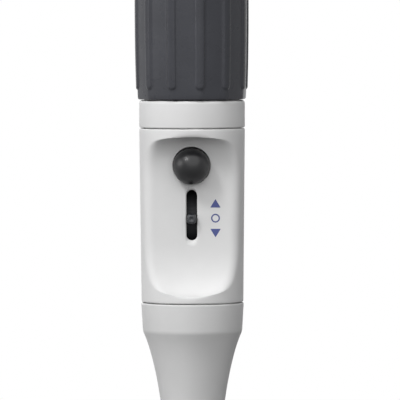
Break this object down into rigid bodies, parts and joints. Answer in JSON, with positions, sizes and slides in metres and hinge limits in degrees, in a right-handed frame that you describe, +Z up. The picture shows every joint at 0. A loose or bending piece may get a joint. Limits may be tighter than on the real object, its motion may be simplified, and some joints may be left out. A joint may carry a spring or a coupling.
{
  "type": "pipette controller",
  "caption": "Hand-held manual pipette controller: ribbed squeeze bulb, casing with thumb lever and blow-out bulb, and a screwed nose with filter and soft pipette grip.",
  "frame": {"origin": "centre of the nose's mouth at its lowest face, where the pipette's top end enters", "axes": "+Z up the long axis from the nose to the suction bulb, -Y out of the casing towards the thumb lever, +X to the user's right when the lever faces them"},
  "size_m": [0.0412, 0.0412, 0.215],
  "materials": {
    "light_plastic": "fine matte moulded light grey polypropylene",
    "bulb_silicone": "satin dark grey silicone",
    "black_plastic": "satin black moulded plastic",
    "black_rubber": "matte black rubber",
    "natural_plastic": "natural white moulded plastic",
    "clear_silicone": "translucent silicone",
    "membrane": "matte white filter membrane",
    "steel": "plain stainless steel"
  },
  "bodies": {
    "housing": {"casing": "light_plastic", "bulb_collar": "light_plastic", "suction_bulb": "bulb_silicone", "bulb_carrier": "natural_plastic", "exhaust_valve": "clear_silicone", "casing_base": "natural_plastic", "valve_block": "black_plastic", "block_screw_left": "steel", "block_screw_right": "steel", "lever_pin": "steel", "spool_bore_plug": "natural_plastic", "vacuum_cap": "natural_plastic", "vacuum_hose": "clear_silicone", "outlet_seal": "black_rubber", "nose_seal": "black_rubber", "filter_inlet_seal": "black_rubber", "spool_spring_upper": "steel", "spool_spring_lower": "steel"},
    "lever": {"pipetting_lever": "black_plastic"},
    "spool": {"valve_spool": "natural_plastic", "spool_seal_vacuum": "black_rubber", "spool_seal_guard": "black_rubber", "spool_seal_vent": "black_rubber"},
    "blow_out": {"blow_out_bulb": "black_rubber"},
    "nose_core": {"pipette_adapter": "clear_silicone", "filter_base": "natural_plastic", "membrane_filter": "membrane", "filter_cover": "natural_plastic"},
    "nose": {"nose_cone": "light_plastic"},
    "float": {"check_valve_float": "natural_plastic"}
  },
  "joints": [
    {"name": "lever_tilt", "type": "hinge", "parent": "housing", "child": "lever", "pos_m": [0, 0.00445, 0.091], "axis": [1, 0, 0], "range_deg": [-20, 20]},
    {"name": "spool_slide", "type": "slide", "parent": "housing", "child": "spool", "axis": [0, 0, 1], "range_m": [-0.002, 0.002], "stiffness_N_per_m": 300, "deforming": ["spool_spring_upper", "spool_spring_lower"]},
    {"name": "blow_out_press", "type": "slide", "parent": "housing", "child": "blow_out", "axis": [0, 1, 0], "range_m": [0, 0.003], "stiffness_N_per_m": 800},
    {"name": "nose_travel", "type": "slide", "parent": "housing", "child": "nose_core", "axis": [0, 0, -1], "range_m": [0, 0.006]},
    {"name": "nose_turn", "type": "hinge", "parent": "nose_core", "child": "nose", "pos_m": [0, 0, 0.055], "axis": [0, 0, 1], "range_deg": [0, 360]},
    {"name": "check_valve_lift", "type": "slide", "parent": "nose_core", "child": "float", "axis": [0, 0, 1], "range_m": [0, 0.0026]}
  ],
  "couplings": [
    {"joint": "lever_tilt", "follows": "spool_slide", "rad_per_m": 169.5},
    {"joint": "nose_travel", "follows": "nose_turn", "m_per_rad": 0.0009545}
  ]
}
